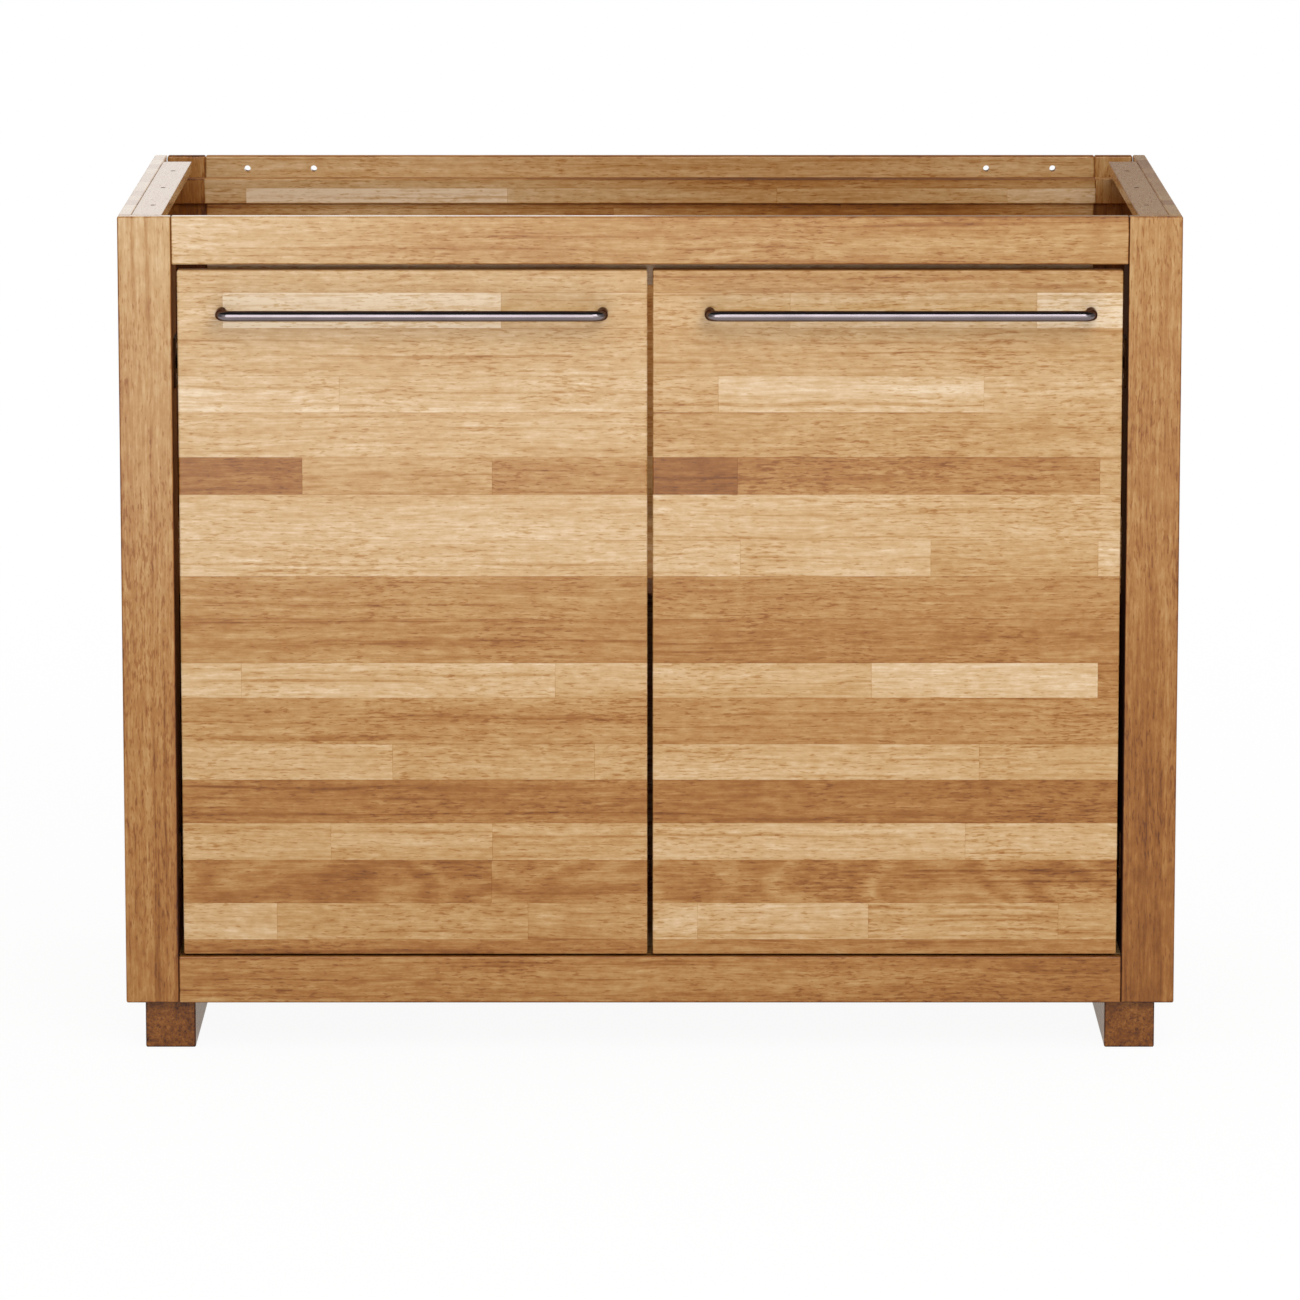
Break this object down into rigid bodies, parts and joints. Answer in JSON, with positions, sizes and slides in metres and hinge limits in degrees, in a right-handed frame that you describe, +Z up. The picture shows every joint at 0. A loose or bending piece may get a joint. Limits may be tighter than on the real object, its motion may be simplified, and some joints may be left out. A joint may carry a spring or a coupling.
{
  "type": "kitchen base cabinet",
  "caption": "Solid wood kitchen base cabinet without worktop: face frame, inset stave doors with bar handles, open top with screw battens, panelled back, wall rail, foot runners",
  "frame": {"origin": "on the floor, below the middle of the whole object with its handles", "axes": "+X right along the width, +Y from the front to the wall, +Z up"},
  "size_m": [1.1, 0.637, 0.88],
  "materials": {
    "door_wood": "edge-glued staves in mixed tones, clear satin lacquer",
    "frame_wood": "solid honey-brown boards, clear satin lacquer",
    "side_wood": "edge-glued staves, clear satin lacquer",
    "back_wood": "edge-glued staves, clear satin lacquer",
    "runner_wood": "darker solid wood, clear satin lacquer",
    "inner_wood": "plain solid wood, thin clear lacquer",
    "dowel_wood": "raw beech",
    "handle_steel": "fine brushed stainless steel rod",
    "hinge_steel": "nickel-plated pressed steel",
    "zinc_steel": "zinc-plated steel",
    "bumper_plastic": "translucent soft plastic"
  },
  "bodies": {
    "carcass": {"back_bottom_rail": "back_wood", "back_frame_dowels": "dowel_wood", "back_panel": "back_wood", "back_stile_left": "back_wood", "back_stile_right": "back_wood", "back_top_rail": "back_wood", "batten_dowels": "dowel_wood", "bearer_screws": "zinc_steel", "door_bumpers": "bumper_plastic", "door_stop_rail": "inner_wood", "door_stop_screws": "zinc_steel", "floor_bearer_left": "inner_wood", "floor_bearer_right": "inner_wood", "floor_panel": "side_wood", "foot_runner_left": "runner_wood", "foot_runner_right": "runner_wood", "front_bottom_rail": "frame_wood", "front_frame_dowels": "dowel_wood", "front_post_left": "frame_wood", "front_post_right": "frame_wood", "front_top_rail": "frame_wood", "hinge_arms_left": "hinge_steel", "hinge_arms_right": "hinge_steel", "hinge_plate_screws_left": "zinc_steel", "hinge_plate_screws_right": "zinc_steel", "hinge_plates_left": "hinge_steel", "hinge_plates_right": "hinge_steel", "hinge_post_left": "inner_wood", "hinge_post_right": "inner_wood", "rear_frame_dowels": "dowel_wood", "rear_post_left": "back_wood", "rear_post_right": "back_wood", "runner_screws": "zinc_steel", "shelf": "side_wood", "shelf_pins": "zinc_steel", "side_panel_dowels": "dowel_wood", "side_panel_left": "side_wood", "side_panel_right": "side_wood", "wall_rail": "back_wood", "worktop_batten_left": "side_wood", "worktop_batten_right": "side_wood"},
    "door_left": {"door_panel_left": "door_wood", "handle_left": "handle_steel", "handle_screws_left": "zinc_steel", "hinge_cups_left": "hinge_steel", "hinge_pins_left": "hinge_steel", "hinge_cup_screws_left": "zinc_steel"},
    "door_right": {"door_panel_right": "door_wood", "handle_right": "handle_steel", "handle_screws_right": "zinc_steel", "hinge_cups_right": "hinge_steel", "hinge_pins_right": "hinge_steel", "hinge_cup_screws_right": "zinc_steel"}
  },
  "joints": [
    {"name": "door_left_swing", "type": "hinge", "parent": "carcass", "child": "door_left", "pos_m": [-0.47685, -0.2695, 0.4635], "axis": [0, 0, -1], "range_deg": [0, 90]},
    {"name": "door_right_swing", "type": "hinge", "parent": "carcass", "child": "door_right", "pos_m": [0.47685, -0.2695, 0.4635], "axis": [0, 0, 1], "range_deg": [0, 90]}
  ]
}
